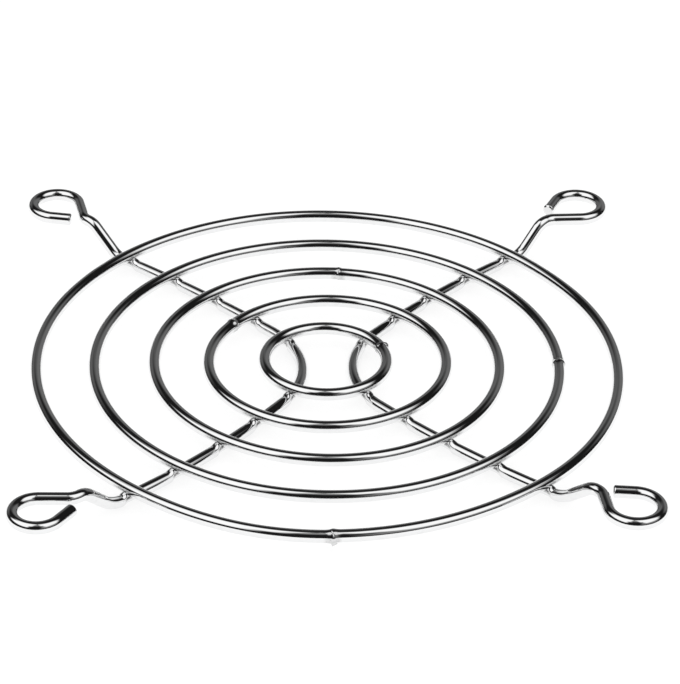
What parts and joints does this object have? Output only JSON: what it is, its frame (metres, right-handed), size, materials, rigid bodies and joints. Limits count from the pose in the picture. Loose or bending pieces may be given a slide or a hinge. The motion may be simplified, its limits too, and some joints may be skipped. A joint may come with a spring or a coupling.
{
  "type": "wire fan guard",
  "caption": "Chrome-plated round finger guard for a square axial fan: concentric wire rings welded to bent ribs whose lifted ends curl into screw loops",
  "frame": {"origin": "Centre of the guard in plan, at the underside of the ribs, on the surface it lies on", "axes": "+Z is the guard's axis and points at the fan, so the loops are at the top; +X and +Y run along the sides of the square of screw loops; the noses of the ribs face each other along X"},
  "size_m": [0.0793, 0.0801, 0.0053],
  "materials": {
    "chrome_wire": "bright plated, mirror smooth, with small dark weld marks"
  },
  "bodies": {
    "root": {"inner_ring": "chrome_wire", "second_ring": "chrome_wire", "third_ring": "chrome_wire", "fourth_ring": "chrome_wire", "outer_ring": "chrome_wire", "left_rib": "chrome_wire", "right_rib": "chrome_wire"}
  },
  "joints": []
}
